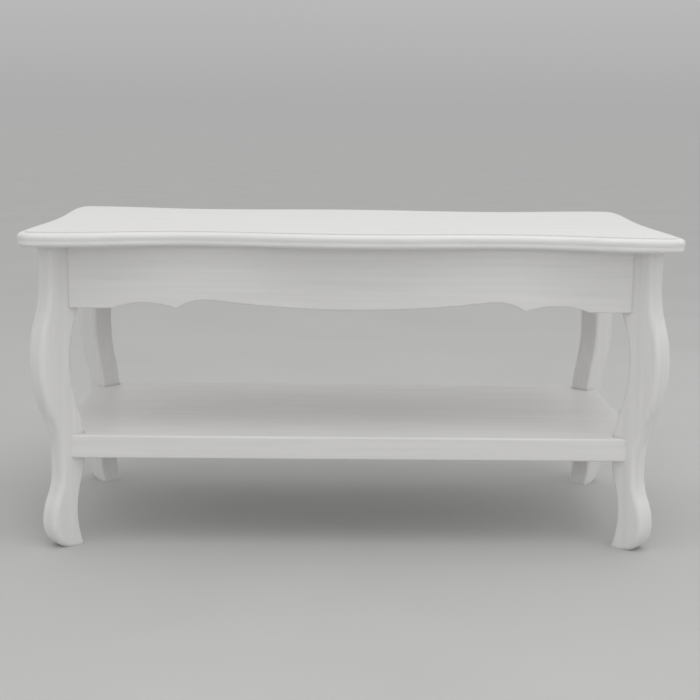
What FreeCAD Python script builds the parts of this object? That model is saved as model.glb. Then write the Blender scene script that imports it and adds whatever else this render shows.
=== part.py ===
import FreeCAD, Part
import math
import os
import re
import Sketcher

# A low console table: a moulded top on a scalloped apron frame, four S-shaped legs
# set diagonally at the corners, and a shelf notched round the legs.
#
# Millimetres. +Z is up, +X runs along the table and -Y is the front.
# The origin is on the floor under the middle of the table.

Vector = FreeCAD.Vector
Placement = FreeCAD.Placement
Rotation = FreeCAD.Rotation

SHEET = "Dimensions"

# The driving dimensions. Leg outlines are measured outwards from the corner of the
# frame, along the diagonal that the leg stands on, so a place inside it is negative.
DIMENSIONS = {
    # overall
    "table_height": 452,
    "frame_length": 830,
    "frame_depth": 365,
    # table top, in plan
    "top_length": 900,
    "top_depth": 478,
    "top_thickness": 20,
    "top_corner_radius": 25,
    "top_bulge_setback": 16,
    "top_hollow_setback": 34,
    "top_hollow_offset": 218,
    "top_waist_setback": 8,
    # table top, moulded edge
    "field_margin": 11,
    "field_step": 1.2,
    "bead_radius": 6.5,
    "quirk_level": 8,
    "quirk_depth": 0.6,
    "roll_level": 4.5,
    "roll_setback": 0.4,
    "lip_height": 0.8,
    "cutter_clearance": 2,
    # aprons
    "apron_thickness": 18,
    "apron_height": 89,
    "apron_arris": 2,
    "apron_end_arris": 4.5,
    "lobe_rise": 12.5,
    "lobe_share": 0.94,
    "arch_rise": 8,
    "long_crown": 201,
    "long_cusp": 242,
    "long_flat": 331,
    "short_crown": 52,
    "short_cusp": 76,
    "short_flat": 118,
    # legs
    "leg_thickness": 33,
    "leg_outer_arris": 8,
    "leg_inner_arris": 4,
    "foot_inner": -36,
    "foot_outer": -5,
    "toe_reach": 15,
    "toe_level": 35.5,
    "ankle_outer": -1.5,
    "ankle_bottom": 110,
    "ankle_top": 122,
    "knee_outer": 29.8,
    "knee_level": 267,
    "neck_outer": 10.5,
    "neck_level": 386,
    "post_inner": -47.5,
    "post_bottom": 363,
    "knee_inner": -19.7,
    "ankle_inner": -41.2,
    "ankle_inner_level": 140,
    "heel_inner": -27,
    "heel_level": 48,
    # shelf
    "shelf_level": 162.5,
    "shelf_thickness": 33,
    "shelf_arris": 2.5,
    # corner blocks and the hardware that holds the legs
    "block_thickness": 28,
    "block_height": 60,
    "bolt_diameter": 8,
    "bolt_grip": 32,
    "bolt_end": 3,
    "bolt_row": 14,
    "bolt_chamfer": 1,
    "washer_diameter": 20,
    "washer_thickness": 1.8,
    "nut_width": 13,
    "nut_thickness": 6.5,
    "screw_diameter": 4,
    "screw_tip": 5,
    "head_diameter": 8,
    "head_height": 2.6,
    "block_screw_length": 28,
    "block_screw_reach": 65,
    "block_screw_grip": 13,
    "block_screw_row": 17,
    "head_clearance": 9,
    # brackets that hold the top
    "bracket_arm": 25,
    "bracket_width": 20,
    "bracket_gauge": 2,
    "bracket_hole_reach": 15,
    "bracket_screw_length": 14,
    "bracket_spread": 180,
    # dowels that hold the shelf
    "dowel_diameter": 8,
    "dowel_length": 40,
    "dowel_chamfer": 1,
    "dowel_row": 7,
}

# Places worked out from the dimensions above.
UNDERSIDE = "(table_height - top_thickness)"
HALF_LENGTH = "(frame_length / 2)"
HALF_DEPTH = "(frame_depth / 2)"
HALF_LEG = "(leg_thickness / 2)"
SLOT_HALF_MOUTH = "(leg_thickness / sqrt(2))"
LONG_APRON_HALF = f"({HALF_LENGTH} - {SLOT_HALF_MOUTH})"
SHORT_APRON_HALF = f"({HALF_DEPTH} - {SLOT_HALF_MOUTH})"
APRON_BOTTOM = f"({UNDERSIDE} - apron_height)"
BLOCK_INNER = "(post_inner - block_thickness)"
BLOCK_MIDDLE = f"({UNDERSIDE} - block_height / 2)"
SCREW_SEAT = "(apron_thickness + block_screw_grip)"
BOLT_LENGTH = "(bolt_grip + block_thickness + washer_thickness + nut_thickness + bolt_end)"
SHELF_MIDDLE = "(shelf_level - shelf_thickness / 2)"

# The table's corners, as signs along X and Y, going round it.
CORNERS = {
    "front_right": (1, -1),
    "rear_right": (1, 1),
    "rear_left": (-1, 1),
    "front_left": (-1, -1),
}
BOTH = (-1, 1)

document = FreeCAD.newDocument("ConsoleTable")
sheet = document.addObject("Spreadsheet::Sheet", SHEET)
cuts = []


def fill_sheet():
    """Each dimension in a row of the sheet: its name, and its value under that alias."""
    for row, (name, size) in enumerate(DIMENSIONS.items(), 1):
        sheet.set(f"A{row}", name)
        sheet.set(f"B{row}", str(size))
        sheet.setAlias(f"B{row}", name)
    document.recompute()


def bound(formula):
    """The formula with each dimension's name led by the sheet's name."""
    def lead(word):
        name = word.group()
        return f"{SHEET}.{name}" if name in DIMENSIONS else name
    return re.sub(r"[a-z]\w*", lead, formula)


def value(formula):
    """What the formula comes to with the sheet's present values."""
    return float(sheet.evalExpression(bound(formula)))


def move_to(item, x, y, z, rotation=Rotation()):
    """Turn an object and bind its place to three formulas."""
    item.Placement = Placement(Vector(value(x), value(y), value(z)), rotation)
    for axis, formula in zip("xyz", (x, y, z)):
        item.setExpression(f"Placement.Base.{axis}", bound(formula))


def yaw(degrees):
    return Rotation(Vector(0, 0, 1), degrees)


def new_body(label):
    body = document.addObject("PartDesign::Body", label)
    body.Label = label
    return body


class Outline:
    """Closed outlines in one sketch. Every corner is pinned to a pair of formulas, and
    every arc to its two ends and to the end where it runs level or plumb."""

    def __init__(self, body, name, plane):
        self.sketch = body.newObject("Sketcher::SketchObject", name)
        planes = body.Origin.OriginFeatures
        self.sketch.AttachmentSupport = [(face, "") for face in planes if face.Role == plane]
        self.sketch.MapMode = "FlatFace"
        self.corners = 0

    def start(self, x, y):
        self.here = (x, y)
        self.first = None
        self.last = None

    def line_to(self, x, y):
        line = Part.LineSegment(self.point(*self.here), self.point(x, y))
        self.add(self.sketch.addGeometry(line), 1, 2, x, y)

    def arc_to(self, x, y, leaving=None, arriving=None):
        """An arc to (x, y) that runs "level" or "plumb" where it leaves or arrives."""
        begin = self.point(*self.here)
        end = self.point(x, y)
        fixed, free = (begin, end) if leaving else (end, begin)
        way = leaving or arriving
        across = Vector(0, 1, 0) if way == "level" else Vector(1, 0, 0)
        chord = free - fixed
        centre = fixed + across * (chord.Length ** 2 / (2 * chord.dot(across)))
        from_begin = begin - centre
        from_end = end - centre
        anticlockwise = from_begin.cross(from_end).z > 0
        angles = [math.atan2(arm.y, arm.x) for arm in (from_begin, from_end)]
        ends = (1, 2) if anticlockwise else (2, 1)
        circle = Part.Circle(centre, Vector(0, 0, 1), from_begin.Length)
        sweep = angles if anticlockwise else reversed(angles)
        arc = self.sketch.addGeometry(Part.ArcOfCircle(circle, *sweep))
        self.add(arc, *ends, x, y)
        middle_point = 3
        alignment = "Vertical" if way == "level" else "Horizontal"
        held_end = ends[0] if leaving else ends[1]
        self.constrain(alignment, arc, middle_point, arc, held_end)

    def wave_to(self, x, y, way, share="0.5"):
        """Two opposite arcs to (x, y), both ends running the same way. The first takes
        that share of the straight line between the ends, where the two meet."""
        begin_x, begin_y = self.here
        middle_x = f"({begin_x}) + (({x}) - ({begin_x})) * ({share})"
        middle_y = f"({begin_y}) + (({y}) - ({begin_y})) * ({share})"
        self.arc_to(middle_x, middle_y, leaving=way)
        self.arc_to(x, y, arriving=way)

    def close(self):
        """Join the last end to the first corner, with a line if they are apart."""
        first_x, first_y = self.beginning
        if (self.point(*self.here) - self.point(first_x, first_y)).Length > Part.Precision.confusion():
            self.line_to(first_x, first_y)
        self.constrain("Coincident", *self.last, *self.first)

    def point(self, x, y):
        return Vector(value(x), value(y), 0)

    def constrain(self, *terms):
        return self.sketch.addConstraint(Sketcher.Constraint(*terms))

    def add(self, piece, begin, end, x, y):
        """Join a new piece to the last one, pin where it begins and step to its end."""
        if self.last is None:
            self.first = (piece, begin)
            self.beginning = self.here
        else:
            self.constrain("Coincident", *self.last, piece, begin)
        origin = (-1, 1)
        for kind, formula in zip(("DistanceX", "DistanceY"), self.here):
            pin = self.constrain(kind, *origin, piece, begin, value(formula))
            name = f"corner_{self.corners}_{kind[-1].lower()}"
            self.sketch.renameConstraint(pin, name)
            self.sketch.setExpression(f"Constraints.{name}", bound(formula))
        self.corners += 1
        self.last = (piece, end)
        self.here = (x, y)


def pad(body, outline, length, both_ways=False, reverse=False):
    feature = body.newObject("PartDesign::Pad", "Pad")
    feature.Profile = outline.sketch
    feature.Midplane = both_ways
    feature.Reversed = reverse
    feature.setExpression("Length", bound(length))
    return feature


def cut_through(body, outline):
    """Cut the outline right through the body, both ways from its sketch."""
    base = body.Tip
    feature = body.newObject("PartDesign::Pocket", "Pocket")
    feature.Profile = outline.sketch
    feature.Type = "ThroughAll"
    feature.Midplane = True
    cuts.append((base, feature))


def drill(body, diameter, depth, x, y, z, heading):
    """A round hole from a place on or outside the surface, along a heading."""
    base = body.Tip
    hole = body.newObject("PartDesign::SubtractiveCylinder", "Hole")
    hole.setExpression("Radius", bound(f"({diameter}) / 2"))
    hole.setExpression("Height", bound(depth))
    move_to(hole, x, y, z, Rotation(Vector(0, 0, 1), heading))
    cuts.append((base, hole))


def round_edges(body, radius, wanted):
    """Round the edges of the body for which wanted(edge) is true."""
    document.recompute()
    base = body.Tip
    names = [f"Edge{number}" for number, edge in enumerate(base.Shape.Edges, 1) if wanted(edge)]
    fillet = body.newObject("PartDesign::Fillet", "Fillet")
    fillet.Base = (base, names)
    fillet.setExpression("Radius", bound(radius))


def near(length, other):
    tolerance = 0.01
    return abs(length - other) < tolerance


def turned(label, *corners):
    """A piece turned about its own Z axis from (radius, height) corners."""
    body = new_body(label)
    outline = Outline(body, "TurnedOutline", "XZ_Plane")
    outline.start(*corners[0])
    for corner in corners[1:]:
        outline.line_to(*corner)
    outline.close()
    turn = body.newObject("PartDesign::Revolution", "Turn")
    turn.Profile = outline.sketch
    turn.ReferenceAxis = (outline.sketch, ["V_Axis"])
    turn.Angle = 360
    return body


def at_corner(corner, outwards, sideways):
    """Formulas for a place given from a corner of the frame, along and across its diagonal."""
    side_x, side_y = corner
    along = f"({outwards}) / sqrt(2)"
    across = f"({sideways}) / sqrt(2)"
    x = f"{side_x} * ({HALF_LENGTH} + {along}) - {side_y} * {across}"
    y = f"{side_y} * ({HALF_DEPTH} + {along}) + {side_x} * {across}"
    return x, y


def outward(corner):
    """The direction out of the table along a corner's diagonal."""
    return Vector(*corner, 0).normalize()


def corner_turn(corner):
    """The turn that takes +X onto a corner's diagonal."""
    side_x, side_y = corner
    return yaw(math.degrees(math.atan2(side_y, side_x)))


# Table top

def draw_top_plan(outline):
    """Ears at the corners, a hollow and a bulge along the front and rear, a waist at each end."""
    ear_x = "(top_length / 2 - top_corner_radius)"
    ear_y = "(top_depth / 2 - top_corner_radius)"
    tip_x = "(top_length / 2)"
    tip_y = "(top_depth / 2)"
    waist_x = "(top_length / 2 - top_waist_setback)"
    bulge_y = "(top_depth / 2 - top_bulge_setback)"
    hollow_y = "(top_depth / 2 - top_hollow_setback)"
    outline.start("0", f"-{bulge_y}")
    outline.wave_to("top_hollow_offset", f"-{hollow_y}", "level")
    outline.wave_to(ear_x, f"-{tip_y}", "level")
    outline.arc_to(tip_x, f"-{ear_y}", leaving="level")
    outline.wave_to(waist_x, "0", "plumb")
    outline.wave_to(tip_x, ear_y, "plumb")
    outline.arc_to(ear_x, tip_y, leaving="plumb")
    outline.wave_to("top_hollow_offset", hollow_y, "level")
    outline.wave_to("0", bulge_y, "level")
    outline.wave_to("-top_hollow_offset", hollow_y, "level")
    outline.wave_to(f"-{ear_x}", tip_y, "level")
    outline.arc_to(f"-{tip_x}", ear_y, leaving="level")
    outline.wave_to(f"-{waist_x}", "0", "plumb")
    outline.wave_to(f"-{tip_x}", f"-{ear_y}", "plumb")
    outline.arc_to(f"-{ear_x}", f"-{tip_y}", leaving="plumb")
    outline.wave_to("-top_hollow_offset", f"-{hollow_y}", "level")
    outline.wave_to("0", f"-{bulge_y}", "level")
    outline.close()


def draw_edge_moulding(outline):
    """What is cut away round the edge: a step, a bead, a quirk, and a roll with a thin lip."""
    edge = "(top_bulge_setback - top_depth / 2)"
    step_y = f"({edge} + field_margin)"
    ledge_z = "(top_thickness - field_step)"
    nose_z = f"({ledge_z} - bead_radius)"
    roll_y = f"({edge} + roll_setback)"
    lip_y = f"({roll_y} + roll_level - lip_height)"
    outline.start(step_y, "top_thickness + cutter_clearance")
    outline.line_to(step_y, ledge_z)
    outline.line_to(f"{edge} + bead_radius", ledge_z)
    outline.arc_to(edge, nose_z, leaving="level")
    outline.arc_to(f"{edge} + quirk_depth", "quirk_level", leaving="plumb")
    outline.arc_to(roll_y, "roll_level", arriving="plumb")
    outline.arc_to(lip_y, "lip_height", leaving="plumb")
    outline.line_to(lip_y, "-cutter_clearance")
    outline.line_to(f"{edge} - cutter_clearance", "-cutter_clearance")
    outline.line_to(f"{edge} - cutter_clearance", "top_thickness + cutter_clearance")
    outline.close()


def make_table_top():
    body = new_body("table_top")
    plan = Outline(body, "TopPlan", "XY_Plane")
    draw_top_plan(plan)
    slab = pad(body, plan, "top_thickness")
    moulding = Outline(body, "EdgeMoulding", "YZ_Plane")
    draw_edge_moulding(moulding)
    router = body.newObject("PartDesign::SubtractivePipe", "Router")
    router.Profile = moulding.sketch
    router.Spine = (plan.sketch, [])
    cuts.append((slab, router))
    for spot_x, spot_y, inward_x, inward_y in bracket_spots():
        x = f"{spot_x} + {inward_x} * bracket_hole_reach"
        y = f"{spot_y} + {inward_y} * bracket_hole_reach"
        depth = "bracket_screw_length - bracket_gauge"
        drill(body, "screw_diameter", depth, x, y, "0", Vector(0, 0, 1))
    move_to(body, "0", "0", UNDERSIDE)
    return body


# Apron frame

def make_apron(name, half_length, crown, cusp, flat, turn, x, y, brackets):
    """A rail with a scalloped lower edge and mitred ends that bear on the legs."""
    body = new_body(name)
    middle = f"(({cusp} + {flat}) / 2)"
    face = Outline(body, "ApronFace", "XZ_Plane")
    face.start("0", "0")
    face.wave_to(crown, "lobe_rise", "level", "lobe_share")
    face.arc_to(cusp, "0", leaving="level")
    face.arc_to(middle, "arch_rise", arriving="level")
    face.arc_to(flat, "0", leaving="level")
    face.line_to(half_length, "0")
    face.line_to(half_length, "apron_height")
    face.line_to(f"-{half_length}", "apron_height")
    face.line_to(f"-{half_length}", "0")
    face.line_to(f"-{flat}", "0")
    face.arc_to(f"-{middle}", "arch_rise", arriving="level")
    face.arc_to(f"-{cusp}", "0", leaving="level")
    face.arc_to(f"-{crown}", "lobe_rise", arriving="level")
    face.wave_to("0", "0", "level", "1 - lobe_share")
    face.close()
    pad(body, face, "apron_thickness", reverse=True)
    halfway_up = value("apron_height / 2")
    round_edges(body, "apron_end_arris", lambda edge: near(edge.BoundBox.YMax, 0)
                and near(edge.BoundBox.XLength, 0))
    round_edges(body, "apron_arris", lambda edge: near(edge.BoundBox.YMax, 0)
                and edge.BoundBox.ZMax < halfway_up)
    mitres = Outline(body, "Mitres", "XY_Plane")
    for side in BOTH:
        mitres.start(f"{side} * {half_length}", "0")
        mitres.line_to(f"{side} * {half_length}", "apron_thickness")
        mitres.line_to(f"{side} * ({half_length} - apron_thickness)", "apron_thickness")
        mitres.close()
    cut_through(body, mitres)
    inwards = Vector(0, -1, 0)
    end = f"({half_length} + {SLOT_HALF_MOUTH} - block_screw_reach)"
    for side in BOTH:
        for row in BOTH:
            level = f"apron_height - block_height / 2 + {row} * block_screw_row"
            depth = "block_screw_length - block_screw_grip"
            drill(body, "screw_diameter", depth, f"{side} * {end}", "apron_thickness", level, inwards)
    for place in brackets:
        level = "apron_height - bracket_hole_reach"
        depth = "bracket_screw_length - bracket_gauge"
        drill(body, "screw_diameter", depth, place, "apron_thickness", level, inwards)
    move_to(body, x, y, APRON_BOTTOM, yaw(turn))
    return body


def make_aprons():
    long_rail = (LONG_APRON_HALF, "long_crown", "long_cusp", "long_flat")
    short_rail = (SHORT_APRON_HALF, "short_crown", "short_cusp", "short_flat")
    spread = ("-bracket_spread", "bracket_spread")
    centre = ("0",)
    return [
        make_apron("front_apron", *long_rail, 0, "0", f"-{HALF_DEPTH}", spread),
        make_apron("right_apron", *short_rail, 90, HALF_LENGTH, "0", centre),
        make_apron("rear_apron", *long_rail, 180, "0", HALF_DEPTH, spread),
        make_apron("left_apron", *short_rail, 270, f"-{HALF_LENGTH}", "0", centre),
    ]


# Legs

def draw_leg(outline):
    """The side of a leg: curled toe, ankle, knee and neck, with +X out of the table."""
    outline.start("foot_inner", "0")
    outline.line_to("foot_outer", "0")
    outline.arc_to("toe_reach", "toe_level", arriving="plumb")
    outline.wave_to("ankle_outer", "ankle_bottom", "plumb")
    outline.line_to("ankle_outer", "ankle_top")
    outline.wave_to("knee_outer", "knee_level", "plumb")
    outline.wave_to("neck_outer", "neck_level", "plumb")
    outline.line_to("neck_outer", UNDERSIDE)
    outline.line_to("post_inner", UNDERSIDE)
    outline.line_to("post_inner", "post_bottom")
    outline.arc_to("knee_inner", "knee_level", arriving="plumb")
    outline.wave_to("ankle_inner", "ankle_inner_level", "plumb")
    outline.wave_to("heel_inner", "heel_level", "plumb")
    outline.arc_to("foot_inner", "0", leaving="plumb")
    outline.close()


def make_leg(name, corner):
    body = new_body(f"{name}_leg")
    side = Outline(body, "LegSide", "XZ_Plane")
    draw_leg(side)
    pad(body, side, "leg_thickness", both_ways=True)
    half_leg = value(HALF_LEG)
    between = value("(foot_outer + knee_inner) / 2")

    def long_edge(edge):
        """Whether an edge runs up the leg on one of its broad faces."""
        box = edge.BoundBox
        return near(abs(box.YMin), half_leg) and near(box.YLength, 0) and not near(box.ZLength, 0)

    round_edges(body, "leg_outer_arris", lambda edge: long_edge(edge) and edge.BoundBox.Center.x > between)
    round_edges(body, "leg_inner_arris", lambda edge: long_edge(edge) and edge.BoundBox.Center.x < between)
    for row in BOTH:
        level = f"{BLOCK_MIDDLE} + {row} * bolt_row"
        drill(body, "bolt_diameter", "bolt_grip", "post_inner", "0", level, Vector(1, 0, 0))
        drill(body, "dowel_diameter", "dowel_length / 2", "ankle_inner", f"{row} * dowel_row",
              SHELF_MIDDLE, Vector(1, 0, 0))
    x, y = at_corner(corner, "0", "0")
    move_to(body, x, y, "0", corner_turn(corner))
    return body


# Corner blocks

def make_corner_block(name, corner):
    """A block across the corner, bearing on both aprons and on the leg's inner edge."""
    body = new_body(f"{name}_corner_block")
    apron_line = "(apron_thickness * sqrt(2))"
    outer_half = f"(-post_inner - {apron_line})"
    inner_half = f"(-{BLOCK_INNER} - {apron_line})"
    plan = Outline(body, "BlockPlan", "XY_Plane")
    plan.start("post_inner", f"-{outer_half}")
    plan.line_to("post_inner", outer_half)
    plan.line_to(BLOCK_INNER, inner_half)
    plan.line_to(BLOCK_INNER, f"-{inner_half}")
    plan.close()
    pad(body, plan, "block_height")
    for row in BOTH:
        bolt_level = f"block_height / 2 + {row} * bolt_row"
        drill(body, "bolt_diameter", "block_thickness", BLOCK_INNER, "0", bolt_level, Vector(1, 0, 0))
        screw_level = f"block_height / 2 + {row} * block_screw_row"
        for side in BOTH:
            x = f"-(block_screw_reach + {SCREW_SEAT}) / sqrt(2)"
            y = f"{side} * (block_screw_reach - {SCREW_SEAT}) / sqrt(2)"
            inwards = Vector(1, side, 0)
            drill(body, "screw_diameter", "block_screw_grip", x, y, screw_level, inwards)
            drill(body, "head_clearance", "block_thickness", x, y, screw_level, -inwards)
    x, y = at_corner(corner, "0", "0")
    move_to(body, x, y, f"{UNDERSIDE} - block_height", corner_turn(corner))
    return body


# Shelf

def draw_shelf_plan(outline):
    """A rectangle with a diagonal slot at each corner, as wide as the leg that stands in it."""
    far = f"(({HALF_LEG} - ankle_inner) / sqrt(2))"
    close = f"((-ankle_inner - {HALF_LEG}) / sqrt(2))"
    slot = (
        (f"({HALF_LENGTH} - {SLOT_HALF_MOUTH})", HALF_DEPTH),
        (f"({HALF_LENGTH} - {far})", f"({HALF_DEPTH} - {close})"),
        (f"({HALF_LENGTH} - {close})", f"({HALF_DEPTH} - {far})"),
        (HALF_LENGTH, f"({HALF_DEPTH} - {SLOT_HALF_MOUTH})"),
    )
    corners = []
    for side_x, side_y in CORNERS.values():
        points = slot if side_x * side_y < 0 else reversed(slot)
        corners += [(f"{side_x} * {x}", f"{side_y} * {y}") for x, y in points]
    outline.start(*corners[0])
    for corner in corners[1:]:
        outline.line_to(*corner)
    outline.close()


def make_shelf():
    body = new_body("shelf")
    plan = Outline(body, "ShelfPlan", "XY_Plane")
    draw_shelf_plan(plan)
    pad(body, plan, "shelf_thickness")
    half_length = value(HALF_LENGTH)
    half_depth = value(HALF_DEPTH)

    def rim(edge):
        """Whether an edge is a long one of the top or the underside."""
        box = edge.BoundBox
        on_side = near(abs(box.XMin), half_length) and near(box.XLength, 0)
        on_front = near(abs(box.YMin), half_depth) and near(box.YLength, 0)
        return (on_side or on_front) and near(box.ZLength, 0)

    round_edges(body, "shelf_arris", rim)
    for corner in CORNERS.values():
        for row in BOTH:
            x, y = at_corner(corner, "ankle_inner", f"{row} * dowel_row")
            drill(body, "dowel_diameter", "dowel_length / 2", x, y, "shelf_thickness / 2",
                  -outward(corner))
    move_to(body, "0", "0", "shelf_level - shelf_thickness")
    return body


# Hardware. Each fastener is made once, with its Z axis the way it is driven.

def make_screw(label, length):
    """A pan-head wood screw, with z = 0 under its head."""
    radius = "screw_diameter / 2"
    return turned(
        label,
        ("0", "-head_height"),
        ("head_diameter / 2 - head_height / 2", "-head_height"),
        ("head_diameter / 2", "-head_height / 2"),
        ("head_diameter / 2", "0"),
        (radius, "0"),
        (radius, f"{length} - screw_tip"),
        ("0", length),
    )


def make_rod(label, diameter, length, chamfer):
    """A straight rod with chamfered ends, from z = 0."""
    return turned(
        label,
        ("0", "0"),
        (f"{diameter} / 2 - {chamfer}", "0"),
        (f"{diameter} / 2", chamfer),
        (f"{diameter} / 2", f"{length} - {chamfer}"),
        (f"{diameter} / 2 - {chamfer}", length),
        ("0", length),
    )


def make_washer(label):
    return turned(
        label,
        ("bolt_diameter / 2", "0"),
        ("washer_diameter / 2", "0"),
        ("washer_diameter / 2", "washer_thickness"),
        ("bolt_diameter / 2", "washer_thickness"),
    )


def make_nut(label):
    """A hexagon nut, from z = 0."""
    body = new_body(label)
    hexagon = Outline(body, "Hexagon", "XY_Plane")
    points = [(f"nut_width / sqrt(3) * cos({angle})", f"nut_width / sqrt(3) * sin({angle})")
              for angle in range(0, 360, 60)]
    hexagon.start(*points[0])
    for point in points[1:]:
        hexagon.line_to(*point)
    hexagon.close()
    pad(body, hexagon, "nut_thickness")
    drill(body, "bolt_diameter", "nut_thickness", "0", "0", "0", Vector(0, 0, 1))
    return body


def make_bracket(label):
    """A steel angle: one arm under the top, one down the apron, with +Y into the table."""
    body = new_body(label)
    section = Outline(body, "BracketSection", "YZ_Plane")
    section.start("0", "0")
    section.line_to("bracket_arm", "0")
    section.line_to("bracket_arm", "-bracket_gauge")
    section.line_to("bracket_gauge", "-bracket_gauge")
    section.line_to("bracket_gauge", "-bracket_arm")
    section.line_to("0", "-bracket_arm")
    section.close()
    pad(body, section, "bracket_width", both_ways=True)
    drill(body, "screw_diameter", "bracket_gauge", "0", "bracket_hole_reach", "-bracket_gauge",
          Vector(0, 0, 1))
    drill(body, "screw_diameter", "bracket_gauge", "0", "0", "-bracket_hole_reach", Vector(0, 1, 0))
    return body


def make_group(label, master, spots):
    """Copies of one fastener at (x, y, z, rotation) places, as one sub-part."""
    links = []
    for number, (x, y, z, rotation) in enumerate(spots, 1):
        link = document.addObject("App::Link", f"{label}_{number}")
        link.LinkedObject = master
        move_to(link, x, y, z, rotation)
        links.append(link)
    group = document.addObject("Part::Compound", label)
    group.Label = label
    group.Links = links
    return group


def driven(heading):
    """The turn that points a fastener along a heading."""
    return Rotation(Vector(0, 0, 1), heading)


def bolt_spots(distance):
    """Two bolts at each corner, that far out along its diagonal, pointing outwards."""
    spots = []
    for corner in CORNERS.values():
        x, y = at_corner(corner, distance, "0")
        for row in BOTH:
            spots.append((x, y, f"{BLOCK_MIDDLE} + {row} * bolt_row", driven(outward(corner))))
    return spots


def block_screw_spots():
    """Two screws from each end of each corner block straight into the apron there."""
    spots = []
    for side_x, side_y in CORNERS.values():
        near_front = (f"{side_x} * ({HALF_LENGTH} - block_screw_reach)",
                      f"{side_y} * ({HALF_DEPTH} - {SCREW_SEAT})", Vector(0, side_y, 0))
        near_side = (f"{side_x} * ({HALF_LENGTH} - {SCREW_SEAT})",
                     f"{side_y} * ({HALF_DEPTH} - block_screw_reach)", Vector(side_x, 0, 0))
        for x, y, heading in (near_front, near_side):
            for row in BOTH:
                spots.append((x, y, f"{BLOCK_MIDDLE} + {row} * block_screw_row", driven(heading)))
    return spots


def bracket_spots():
    """Where each bracket's corner sits: its x and y, and the signs of the way into the table."""
    inside_y = f"({HALF_DEPTH} - apron_thickness)"
    inside_x = f"({HALF_LENGTH} - apron_thickness)"
    spots = [(f"{side} * {inside_x}", "0", -side, 0) for side in BOTH]
    for side_y in BOTH:
        for side_x in BOTH:
            spots.append((f"{side_x} * bracket_spread", f"{side_y} * {inside_y}", 0, -side_y))
    return spots


def bracket_places():
    return [(x, y, UNDERSIDE, yaw(math.degrees(math.atan2(-inward_x, inward_y))))
            for x, y, inward_x, inward_y in bracket_spots()]


def bracket_screw_spots():
    """One screw up into the top and one into the apron, for each bracket."""
    spots = []
    for x, y, inward_x, inward_y in bracket_spots():
        spots.append((f"{x} + {inward_x} * bracket_hole_reach", f"{y} + {inward_y} * bracket_hole_reach",
                      f"{UNDERSIDE} - bracket_gauge", driven(Vector(0, 0, 1))))
        spots.append((f"{x} + {inward_x} * bracket_gauge", f"{y} + {inward_y} * bracket_gauge",
                      f"{UNDERSIDE} - bracket_hole_reach", driven(Vector(-inward_x, -inward_y, 0))))
    return spots


def dowel_spots():
    """Two dowels at each corner, half in the shelf and half in the leg."""
    spots = []
    for corner in CORNERS.values():
        for row in BOTH:
            x, y = at_corner(corner, "ankle_inner - dowel_length / 2", f"{row} * dowel_row")
            spots.append((x, y, SHELF_MIDDLE, driven(outward(corner))))
    return spots


def make_hardware():
    nut_seat = f"{BLOCK_INNER} - washer_thickness - nut_thickness"
    bolt = make_rod("one_leg_bolt", "bolt_diameter", BOLT_LENGTH, "bolt_chamfer")
    washer = make_washer("one_leg_washer")
    nut = make_nut("one_leg_nut")
    block_screw = make_screw("one_block_screw", "block_screw_length")
    bracket = make_bracket("one_top_bracket")
    bracket_screw = make_screw("one_bracket_screw", "bracket_screw_length")
    dowel = make_rod("one_shelf_dowel", "dowel_diameter", "dowel_length", "dowel_chamfer")
    return [
        make_group("leg_bolts", bolt, bolt_spots(f"post_inner + bolt_grip - {BOLT_LENGTH}")),
        make_group("leg_washers", washer, bolt_spots(f"{BLOCK_INNER} - washer_thickness")),
        make_group("leg_nuts", nut, bolt_spots(nut_seat)),
        make_group("corner_block_screws", block_screw, block_screw_spots()),
        make_group("top_brackets", bracket, bracket_places()),
        make_group("top_bracket_screws", bracket_screw, bracket_screw_spots()),
        make_group("shelf_dowels", dowel, dowel_spots()),
    ]


def make_table():
    """Every sub-part of the table."""
    parts = [make_table_top(), make_shelf()]
    parts += make_aprons()
    parts += [make_leg(name, corner) for name, corner in CORNERS.items()]
    parts += [make_corner_block(name, corner) for name, corner in CORNERS.items()]
    parts += make_hardware()
    return parts


def check(parts):
    """Stop on anything that failed to build, or on a cut that took nothing away."""
    for item in document.Objects:
        if {"Invalid", "Error"} & set(item.State):
            raise RuntimeError(f"{item.Label} did not build: {item.State}")
    for base, cut in cuts:
        if not cut.Shape.Volume < base.Shape.Volume:
            raise RuntimeError(f"{cut.Label} removed nothing from {base.Label}")
    for part in parts:
        if part.Shape.isNull() or not part.Shape.isValid():
            raise RuntimeError(f"{part.Label} has no valid shape")


fill_sheet()
table = make_table()
document.recompute()
check(table)
os.makedirs("parts", exist_ok=True)
for part in table:
    part.Shape.exportStep(f"parts/{part.Label}.step")
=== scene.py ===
import math

import bmesh
import bpy
from mathutils import Matrix, Vector


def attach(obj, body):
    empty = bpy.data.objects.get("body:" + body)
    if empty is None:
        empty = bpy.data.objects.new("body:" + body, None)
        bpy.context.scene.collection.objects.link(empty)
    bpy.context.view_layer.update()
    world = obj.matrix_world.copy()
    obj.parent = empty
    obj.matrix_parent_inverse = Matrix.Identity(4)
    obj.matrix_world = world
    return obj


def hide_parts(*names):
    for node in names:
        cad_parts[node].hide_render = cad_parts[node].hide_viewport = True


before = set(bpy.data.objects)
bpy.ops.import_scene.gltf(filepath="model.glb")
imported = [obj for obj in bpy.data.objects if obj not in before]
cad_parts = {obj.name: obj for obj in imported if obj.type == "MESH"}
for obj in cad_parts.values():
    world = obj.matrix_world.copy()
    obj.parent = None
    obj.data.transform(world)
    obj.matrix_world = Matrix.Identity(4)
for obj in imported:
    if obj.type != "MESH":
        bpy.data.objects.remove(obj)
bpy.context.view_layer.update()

# Metres. +X runs along the table, -Y is the front and the floor is z = 0.
MM = 0.001

# A colour mix node's sockets. They share their names with its other ones, so they go by number.
MIX_AMOUNT = 0
MIX_UNDER = 6
MIX_OVER = 7
MIX_RESULT = 2

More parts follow.
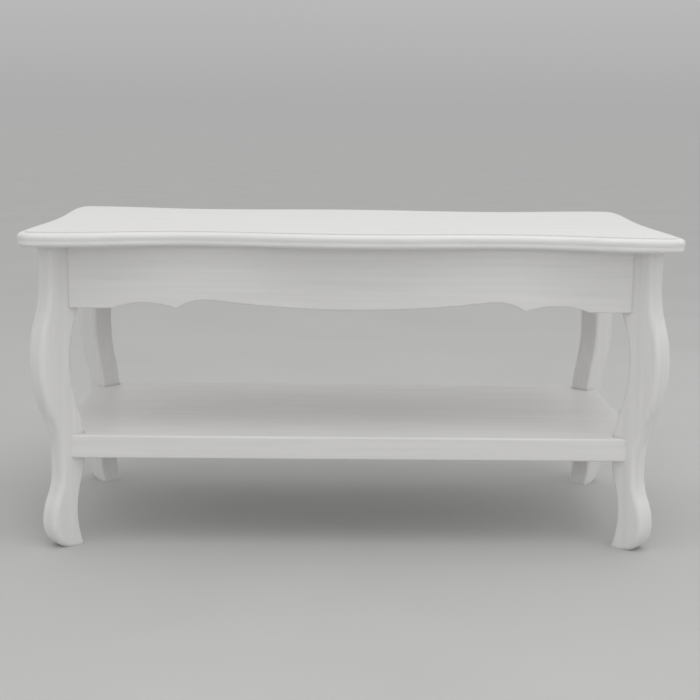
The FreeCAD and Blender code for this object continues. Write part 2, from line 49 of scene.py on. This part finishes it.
# How many levels of a thread's skin there are to each turn.
LEVELS_A_TURN = 6


# Materials

class Finish:
    """A material with a principled shader, and short ways to add what feeds it."""

    def __init__(self, name, roughness, metallic=0.0):
        self.material = bpy.data.materials.new(name)
        self.material.use_nodes = True
        self.tree = self.material.node_tree
        self.shader = self.tree.nodes["Principled BSDF"]
        self.shader.inputs["Roughness"].default_value = roughness
        self.shader.inputs["Metallic"].default_value = metallic
        self.position = self.tree.nodes.new("ShaderNodeTexCoord").outputs["Object"]
        self.normal = None

    def node(self, kind, inputs=None, **settings):
        """A new node, with its settings, and its inputs given as numbers or as links."""
        made = self.tree.nodes.new(kind)
        for setting, wanted in settings.items():
            setattr(made, setting, wanted)
        for socket, wanted in (inputs or {}).items():
            if isinstance(wanted, bpy.types.NodeSocket):
                self.tree.links.new(wanted, made.inputs[socket])
            else:
                made.inputs[socket].default_value = wanted
        return made

    def stretched(self, grain, turn=0.0):
        """Position turned about Z and scaled, so that a pattern on it is drawn out."""
        place = self.node("ShaderNodeMapping", {"Vector": self.position, "Scale": grain,
                                                "Rotation": (0.0, 0.0, turn)})
        return place.outputs["Vector"]

    def noise(self, scale, detail=2.0, on=None):
        """A noise from 0 to 1, with this many features a metre unless it is stretched."""
        made = self.node("ShaderNodeTexNoise", {"Vector": on or self.position, "Scale": scale,
                                                "Detail": detail})
        return made.outputs["Fac"]

    def spread(self, source, low, high, from_low=0.3, from_high=0.7):
        """The source's middle values spread over low to high."""
        made = self.node("ShaderNodeMapRange", {"Value": source, "From Min": from_low,
                                                "From Max": from_high, "To Min": low,
                                                "To Max": high})
        return made.outputs["Result"]

    def maths(self, operation, one, other):
        made = self.node("ShaderNodeMath", {0: one, 1: other}, operation=operation)
        return made.outputs["Value"]

    def closeness(self, reach, inside):
        """1 where a surface is within reach of this one, through the air or the solid."""
        open_share = self.node("ShaderNodeAmbientOcclusion", {"Distance": reach},
                               samples=4, inside=inside, only_local=inside)
        return self.maths("SUBTRACT", 1.0, open_share.outputs["AO"])

    def tint(self, under, over, amount):
        """One colour over another by an amount from 0 to 1."""
        made = self.node("ShaderNodeMix", {MIX_AMOUNT: amount, MIX_UNDER: under,
                                           MIX_OVER: over}, data_type="RGBA")
        return made.outputs[MIX_RESULT]

    def relief(self, height, depth):
        """Raise the surface by a height from 0 to 1 times a depth in metres."""
        inputs = {"Height": height, "Distance": depth}
        if self.normal:
            inputs["Normal"] = self.normal
        self.normal = self.node("ShaderNodeBump", inputs).outputs["Normal"]

    def feed(self, socket, source):
        self.tree.links.new(source, self.shader.inputs[socket])

    def finished(self):
        if self.normal:
            self.feed("Normal", self.normal)
        return self.material


def white_paint(name, grain):
    """Satin white lacquer brushed out along the wood, a little worn on the arrises, and greyed in
    joints and creases by painted shade with some dust.
    """
    paint = Finish(name, roughness=0.4)
    fresh = (0.84, 0.835, 0.82, 1.0)
    streaked = (0.775, 0.77, 0.76, 1.0)
    dust_and_shade_grey = (0.60, 0.59, 0.58, 1.0)
    primer = (0.70, 0.68, 0.64, 1.0)
    strokes = paint.noise(scale=1.0, detail=3.0, on=paint.stretched(grain))
    patches = paint.noise(scale=6.0)
    peel = paint.noise(scale=650.0, detail=1.0)
    rubs = paint.noise(scale=45.0, detail=4.0)
    near_an_arris = paint.closeness(reach=4 * MM, inside=True)
    near_a_joint = paint.closeness(reach=6 * MM, inside=False)
    arris = paint.spread(near_an_arris, low=0.0, high=1.0, from_low=0.35, from_high=0.8)
    scuffs = paint.spread(rubs, low=0.0, high=0.6, from_low=0.5, from_high=0.65)
    # Painted shade with some dust: a mask that is strong where another surface comes within reach,
    # in joints, grooves and creases.
    dust_and_joint_shade = paint.spread(near_a_joint, low=0.0, high=0.7, from_low=0.15, from_high=0.7)
    colour = paint.tint(fresh, streaked, paint.spread(strokes, low=0.0, high=1.0))
    colour = paint.tint(colour, streaked, paint.spread(patches, low=0.0, high=0.5))
    # Painted shade, partly dust: the colour is greyed in joints and creases, where shade falls.
    colour = paint.tint(colour, dust_and_shade_grey, dust_and_joint_shade)
    colour = paint.tint(colour, primer, paint.maths("MULTIPLY", arris, scuffs))
    paint.feed("Base Color", colour)
    paint.feed("Roughness", paint.spread(strokes, low=0.34, high=0.46))
    paint.relief(strokes, depth=0.1 * MM)
    paint.relief(peel, depth=0.02 * MM)
    return paint.finished()


def hardwood(name, turn):
    """Bare planed beech, its grain running level and turned from X by that angle."""
    wood = Finish(name, roughness=0.6)
    pale = (0.60, 0.42, 0.26, 1.0)
    dark = (0.44, 0.27, 0.15, 1.0)
    along = wood.stretched((8.0, 160.0, 160.0), turn)
    years = wood.node("ShaderNodeTexWave", {"Vector": wood.stretched((0.4, 60.0, 60.0), turn),
                                            "Scale": 1.0, "Distortion": 6.0, "Detail": 2.0},
                      wave_type="RINGS", rings_direction="X").outputs["Fac"]
    fibres = wood.noise(scale=1.0, detail=4.0, on=along)
    specks = wood.noise(scale=4.0, detail=2.0, on=along)
    rings = wood.spread(years, low=0.0, high=0.5, from_low=0.0, from_high=1.0)
    pores = wood.spread(specks, low=1.0, high=0.0, from_low=0.58, from_high=0.7)
    colour = wood.tint(pale, dark, rings)
    colour = wood.tint(colour, dark, wood.spread(fibres, low=0.0, high=0.6))
    wood.feed("Base Color", colour)
    wood.feed("Roughness", wood.spread(fibres, low=0.5, high=0.7))
    wood.relief(fibres, depth=0.15 * MM)
    wood.relief(pores, depth=0.1 * MM)
    return wood.finished()


def zinc_steel(name):
    """Bright zinc plate, with the faint cloudy colours of its passivation."""
    zinc = Finish(name, roughness=0.35, metallic=1.0)
    silver = (0.72, 0.73, 0.74, 1.0)
    straw = (0.70, 0.66, 0.54, 1.0)
    clouds = zinc.noise(scale=220.0, detail=3.0)
    handling = zinc.noise(scale=900.0)
    zinc.feed("Base Color", zinc.tint(silver, straw, zinc.spread(clouds, low=0.0, high=0.7)))
    zinc.feed("Roughness", zinc.spread(handling, low=0.24, high=0.45))
    zinc.relief(handling, depth=0.02 * MM)
    return zinc.finished()


def paint_table(zinc):
    """Give every sub-part of the model its finish."""
    fine = 130.0
    drawn_out = 5.0
    along_x = white_paint("white_paint_along_x", (drawn_out, fine, fine))
    along_y = white_paint("white_paint_along_y", (fine, drawn_out, fine))
    along_z = white_paint("white_paint_along_z", (fine, fine, drawn_out))
    eighth = math.radians(45)
    falling = hardwood("hardwood_falling", eighth)
    rising = hardwood("hardwood_rising", -eighth)
    finishes = {
        along_x: ("table_top", "shelf", "front_apron", "rear_apron"),
        along_y: ("left_apron", "right_apron"),
        along_z: ("front_left_leg", "front_right_leg", "rear_left_leg", "rear_right_leg"),
        falling: ("front_left_corner_block", "rear_right_corner_block"),
        rising: ("front_right_corner_block", "rear_left_corner_block", "shelf_dowels"),
        zinc: ("leg_washers",),
    }
    for material, names in finishes.items():
        for name in names:
            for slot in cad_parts[name].material_slots:
                slot.material = material


# Hardware: finer pieces in place of the model's plain ones

def solids(name):
    """The corners of each separate solid in one of the model's groups."""
    group = bmesh.new()
    group.from_mesh(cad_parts[name].data)
    same_place = 0.001 * MM
    bmesh.ops.remove_doubles(group, verts=group.verts, dist=same_place)
    found = []
    seen = set()
    for first in group.verts:
        if first in seen:
            continue
        seen.add(first)
        solid = [first]
        for corner in solid:
            for edge in corner.link_edges:
                other = edge.other_vert(corner)
                if other not in seen:
                    seen.add(other)
                    solid.append(other)
        found.append([corner.co.copy() for corner in solid])
    group.free()
    return found


def span(solid):
    """The lowest and highest corners of a solid's box."""
    low = Vector([min(corner[axis] for corner in solid) for axis in range(3)])
    high = Vector([max(corner[axis] for corner in solid) for axis in range(3)])
    return low, high


def pointing(place, heading):
    """The shift and turn that put a piece at a place with its Z axis along a heading."""
    return Matrix.Translation(place) @ heading.to_track_quat("Z", "Y").to_matrix().to_4x4()


def inner_end(solid, length):
    """The inner end of a piece of this length that lies along a corner's diagonal."""
    low, high = span(solid)
    middle = (low + high) / 2
    heading = Vector((math.copysign(1, middle.x), math.copysign(1, middle.y), 0)).normalized()
    return pointing(middle - heading * length / 2, heading)


def under_head(solid, length):
    """Where a screw's head bears. Its head is the end that has most of its corners."""
    low, high = span(solid)
    sides = high - low
    along = max(range(3), key=lambda axis: sides[axis])
    middle = (low + high) / 2
    head_is_low = sum(corner[along] for corner in solid) / len(solid) < middle[along]
    heading = Vector((0, 0, 0))
    heading[along] = 1 if head_is_low else -1
    tip = middle + heading * sides[along] / 2
    return pointing(tip - heading * length, heading)


def into_corner(solid):
    """The corner that an angle bracket fits into, with Y pointing into the table."""
    low, high = span(solid)
    place = (low + high) / 2
    place.z = high.z
    across = 0 if high.x - low.x > high.y - low.y else 1
    side = math.copysign(1, place[across])
    place[across] = high[across] if side > 0 else low[across]
    inwards = Vector((0, 0))
    inwards[across] = -side
    return Matrix.Translation(place) @ Matrix.Rotation(math.atan2(-inwards.x, inwards.y), 4, "Z")


def at(radius, level, angle):
    """The point at this radius and angle round Z, at this level."""
    return Vector((radius * math.cos(angle), radius * math.sin(angle), level))


def steps(low, high, size):
    """Evenly spaced values from low to high, about this far apart."""
    count = max(1, round((high - low) / size))
    return [low + (high - low) * number / count for number in range(count + 1)]


def wound(profile, around, shaped, tube=False):
    """The skin of (radius, level) corners turned about Z, with each point passed through
    shaped. A tube's last ring joins its first, and any other skin is capped."""
    rings = len(profile)
    points = [shaped(radius, level, step * math.tau / around)
              for radius, level in profile for step in range(around)]
    faces = []
    for ring in range(rings if tube else rings - 1):
        here = ring * around
        above = (ring + 1) % rings * around
        for step in range(around):
            beside = (step + 1) % around
            faces.append((here + step, here + beside, above + beside, above + step))
    if not tube:
        faces.append(tuple(reversed(range(around))))
        faces.append(tuple(range((rings - 1) * around, rings * around)))
    return points, faces


def below_crest(level, angle, pitch, depth):
    """How far in from its crest a V thread is at this level and angle."""
    turns = level / pitch - angle / math.tau
    return depth * abs(2 * (turns % 1) - 1)


def cross_recess(x, y):
    """How deep a point of a screw's head is sunk by its cross-shaped recess."""
    depth = 1.5 * MM
    reach = 2.4 * MM
    slot = 0.5 * MM
    sunk = 0.0
    for along, across in ((abs(x), abs(y)), (abs(y), abs(x))):
        end_slope = min(1.0, max(0.0, 2 - 2 * along / reach))
        side_slope = min(1.0, max(0.0, 2 - across / slot))
        sunk = max(sunk, depth * end_slope * side_slope)
    return sunk


def screw(length):
    """A pan-head wood screw, level 0 under its head: cross recess, plain neck and thread."""
    thread = 2.0 * MM
    thread_depth = 0.65 * MM
    pitch = 1.8 * MM
    head = 4.0 * MM
    head_height = 2.6 * MM
    dome = 0.9 * MM
    neck = 2.5 * MM
    point = 5.0 * MM
    blunt = 0.3 * MM
    tip = 0.1 * MM
    eased = 0.3 * MM
    eased_level = -0.4 * MM
    around = 32
    rings_from = 0.05
    ring_gap = 0.06
    thread_gap = pitch / LEVELS_A_TURN
    profile = [(head * share, dome * share ** 3 - head_height)
               for share in steps(rings_from, 1.0, ring_gap)]
    profile += [(head, eased_level), (head - eased, 0.0), (thread, 0.0)]
    profile += [(thread, level) for level in steps(neck, length - point, thread_gap)]
    profile += [(thread * (length - level) / point, level)
                for level in steps(length - point, length - blunt, thread_gap)[1:]]
    profile.append((tip, length))

    def shaped(radius, level, angle):
        if level < 0.0:
            x, y, _ = at(radius, level, angle)
            sunk = cross_recess(x, y) if level < dome - head_height else 0.0
            return Vector((x, y, level + sunk))
        if level > neck:
            radius -= below_crest(level, angle, pitch, thread_depth) * radius / thread
        return at(radius, level, angle)

    return wound(profile, around, shaped)


def hanger_bolt(length):
    """A headless bolt from its inner end: machine thread, plain shank and wood thread."""
    crest = 4.0 * MM
    chamfer = 1.0 * MM
    machine_end = 14.0 * MM
    machine_pitch = 1.25 * MM
    machine_depth = 0.65 * MM
    wood_start = 40.0 * MM
    wood_pitch = 3.0 * MM
    wood_depth = 1.0 * MM
    around = 24
    machine_gap = machine_pitch / LEVELS_A_TURN
    wood_gap = wood_pitch / LEVELS_A_TURN
    profile = [(crest - chamfer, 0.0)]
    profile += [(crest, level) for level in steps(chamfer, machine_end, machine_gap)]
    profile += [(crest, level) for level in steps(wood_start, length - chamfer, wood_gap)]
    profile.append((crest - chamfer, length))

    def shaped(radius, level, angle):
        if radius == crest and level < machine_end:
            radius -= below_crest(level, angle, machine_pitch, machine_depth)
        elif radius == crest and level > wood_start:
            radius -= below_crest(level, angle, wood_pitch, wood_depth)
        return at(radius, level, angle)

    return wound(profile, around, shaped)


def hexagon_nut(thickness):
    """A nut with its corners chamfered at 30 degrees, and a countersunk bore."""
    bore = 4.0 * MM
    sink = 0.6 * MM
    half_width = 6.5 * MM
    face = 6.1 * MM
    wide = 7.0 * MM
    around = 48
    side_turn = math.radians(60)
    half_side = side_turn / 2
    chamfer_slope = math.tan(math.radians(30))
    middle = thickness / 2
    profile = [(bore, sink), (bore + sink, 0.0), (face, 0.0), (wide, 0.0), (wide, thickness),
               (face, thickness), (bore + sink, thickness), (bore, thickness - sink)]

    def shaped(radius, level, angle):
        if radius == wide:
            radius = half_width / math.cos(angle % side_turn - half_side)
            fall = (radius - face) * chamfer_slope
            level += fall if level < middle else -fall
        return at(radius, level, angle)

    return wound(profile, around, shaped, tube=True)


def angle_bracket(arm, width):
    """A steel strip with rounded corners and two holes, bent square, its corner at 0."""
    gauge = 2.0 * MM
    burr = 0.2 * MM
    bend = 2.5 * MM
    corner_radius = 3.0 * MM
    hole_radius = 2.2 * MM
    hole_reach = 15.0 * MM
    turn_step = 15
    bend_cuts = 8
    inset = bend + gauge / 2
    half_bend = bend * math.radians(45)
    half_length = half_bend + arm - inset
    strip = bpy.data.curves.new("strip", "CURVE")
    strip.dimensions = "2D"
    strip.fill_mode = "BOTH"
    strip.extrude = gauge / 2 - burr
    strip.bevel_depth = burr

    def add_loop(points):
        spline = strip.splines.new("POLY")
        spline.points.add(len(points) - 1)
        for point, (x, y) in zip(spline.points, points):
            point.co = (x, y, 0, 1)
        spline.use_cyclic_u = True

    def turn_round(x, y, radius, first, last):
        angles = [math.radians(angle) for angle in range(first, last + 1, turn_step)]
        return [(x + radius * math.cos(angle), y + radius * math.sin(angle)) for angle in angles]

    far = half_length - burr - corner_radius
    side = width / 2 - burr - corner_radius
    add_loop(turn_round(far, side, corner_radius, 0, 90)
             + turn_round(-far, side, corner_radius, 90, 180)
             + turn_round(-far, -side, corner_radius, 180, 270)
             + turn_round(far, -side, corner_radius, 270, 360))
    hole = hole_reach - inset + half_bend
    for centre in (-hole, hole):
        add_loop(turn_round(centre, 0, hole_radius + burr, 0, 360 - turn_step))
    flat = bpy.data.meshes.new_from_object(bpy.data.objects.new("strip", strip))
    sheet = bmesh.new()
    sheet.from_mesh(flat)
    for cut in steps(-half_bend, half_bend, 2 * half_bend / bend_cuts):
        everything = sheet.verts[:] + sheet.edges[:] + sheet.faces[:]
        bmesh.ops.bisect_plane(sheet, geom=everything, plane_co=(cut, 0, 0), plane_no=(1, 0, 0))

    def bent(along, across, out):
        if along > half_bend:
            return Vector((-across, inset + along - half_bend, out - gauge / 2))
        if along < -half_bend:
            return Vector((-across, gauge / 2 - out, along + half_bend - inset))
        angle = math.radians(135) - along / bend
        return Vector((-across, inset + (bend + out) * math.cos(angle),
                       (bend + out) * math.sin(angle) - inset))

    points = [bent(*vertex.co) for vertex in sheet.verts]
    faces = [[vertex.index for vertex in face.verts] for face in sheet.faces]
    sheet.free()
    return points, faces


def copies(name, node, master, places, finish):
    """One piece in place of a CAD node: a copy of a master skin at each place."""
    sharp = math.radians(40)
    master_points, master_faces = master
    points = []
    faces = []
    for place in places:
        first = len(points)
        points += [place @ point for point in master_points]
        faces += [[first + corner for corner in face] for face in master_faces]
    mesh = bpy.data.meshes.new(name)
    mesh.from_pydata(points, [], faces)
    mesh.materials.append(finish)
    mesh.shade_smooth()
    mesh.set_sharp_from_angle(angle=sharp)
    piece = bpy.data.objects.new(name, mesh)
    bpy.context.collection.objects.link(piece)
    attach(piece, "root")
    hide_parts(node)


def make_hardware(zinc):
    """Put threaded bolts, nuts, brackets and screws in place of the model's plain ones.
    A bolt runs from past its nut, through a washer and a block, and grips in its leg."""
    past_nut = 3.0 * MM
    nut_thickness = 6.5 * MM
    washer_thickness = 1.8 * MM
    block_thickness = 28.0 * MM
    grip = 32.0 * MM
    bolt_length = past_nut + nut_thickness + washer_thickness + block_thickness + grip
    bracket_arm = 25.0 * MM
    bracket_width = 20.0 * MM
    block_screw = 28.0 * MM
    bracket_screw = 14.0 * MM
    copies("hanger_bolts", "leg_bolts", hanger_bolt(bolt_length),
           [inner_end(solid, bolt_length) for solid in solids("leg_bolts")], zinc)
    copies("hexagon_nuts", "leg_nuts", hexagon_nut(nut_thickness),
           [inner_end(solid, nut_thickness) for solid in solids("leg_nuts")], zinc)
    copies("angle_brackets", "top_brackets", angle_bracket(bracket_arm, bracket_width),
           [into_corner(solid) for solid in solids("top_brackets")], zinc)
    for name, node, length in (("block_wood_screws", "corner_block_screws", block_screw),
                               ("bracket_wood_screws", "top_bracket_screws", bracket_screw)):
        copies(name, node, screw(length),
               [under_head(solid, length) for solid in solids(node)], zinc)


# Stage

def make_floor():
    """A sheet of pale paper that runs to the horizon."""
    half = 30.0
    mesh = bpy.data.meshes.new("floor")
    corners = [(-half, -half, 0), (half, -half, 0), (half, half, 0), (-half, half, 0)]
    mesh.from_pydata(corners, [], [(0, 1, 2, 3)])
    floor = bpy.data.objects.new("floor", mesh)
    bpy.context.collection.objects.link(floor)
    matt = Finish("floor_paper", roughness=0.9)
    pale = (0.55, 0.55, 0.545, 1.0)
    shade = (0.53, 0.53, 0.525, 1.0)
    clouds = matt.spread(matt.noise(scale=3.0), low=0.0, high=1.0)
    matt.feed("Base Color", matt.tint(pale, shade, clouds))
    mesh.materials.append(matt.finished())


def make_softbox(name, place, target, size, power):
    """A rectangular light, in watts, turned towards a target and unseen by the camera."""
    lamp = bpy.data.lights.new(name, "AREA")
    lamp.shape = "RECTANGLE"
    lamp.size, lamp.size_y = size
    lamp.energy = power
    box = bpy.data.objects.new(name, lamp)
    box.location = place
    facing = Vector(target) - Vector(place)
    box.rotation_mode = "QUATERNION"
    box.rotation_quaternion = facing.to_track_quat("-Z", "Y")
    box.visible_camera = False
    bpy.context.collection.objects.link(box)


def light_studio():
    """A grey sky as bright as the floor at the horizon and brighter above, and softboxes."""
    horizon = 0.415
    zenith = 0.74
    zenith_from = 0.35
    white = (1.0, 1.0, 1.0, 1.0)
    middle = (0.0, 0.0, 0.25)
    world = bpy.data.worlds.new("studio")
    world.use_nodes = True
    tree = world.node_tree
    direction = tree.nodes.new("ShaderNodeTexCoord").outputs["Generated"]
    upwards = tree.nodes.new("ShaderNodeSeparateXYZ")
    brightness = tree.nodes.new("ShaderNodeMapRange")
    brightness.inputs["From Max"].default_value = zenith_from
    brightness.inputs["To Min"].default_value = horizon
    brightness.inputs["To Max"].default_value = zenith
    sky = tree.nodes["Background"].inputs
    sky["Color"].default_value = white
    tree.links.new(direction, upwards.inputs["Vector"])
    tree.links.new(upwards.outputs["Z"], brightness.inputs["Value"])
    tree.links.new(brightness.outputs["Result"], sky["Strength"])
    bpy.context.scene.world = world
    make_softbox("overhead", (0.4, -0.8, 2.5), middle, size=(2.4, 1.8), power=16)
    make_softbox("front_fill", (0.3, -2.4, 0.9), middle, size=(1.2, 0.6), power=3.4)
    make_softbox("right_side", (2.8, 0.3, 1.3), middle, size=(1.6, 1.3), power=3.2)
    bpy.context.scene.view_settings.view_transform = "Standard"


def make_camera():
    """Stand a little left of the middle, looking down at the front with a slight tilt."""
    lens = 68.4
    sensor = 36.0
    place = (-0.0345, -2.003, 0.6228)
    yaw = math.radians(-1.05)
    pitch = math.radians(-10.43)
    roll = math.radians(0.70)
    level = math.radians(90)
    camera = bpy.data.objects.new("camera", bpy.data.cameras.new("camera"))
    camera.data.lens = lens
    camera.data.sensor_width = sensor
    camera.matrix_world = (Matrix.Translation(place) @ Matrix.Rotation(yaw, 4, "Z")
                           @ Matrix.Rotation(level + pitch, 4, "X") @ Matrix.Rotation(roll, 4, "Z"))
    bpy.context.collection.objects.link(camera)
    bpy.context.scene.camera = camera


make_camera()
zinc = zinc_steel("zinc_steel")
paint_table(zinc)
make_hardware(zinc)
make_floor()
light_studio()
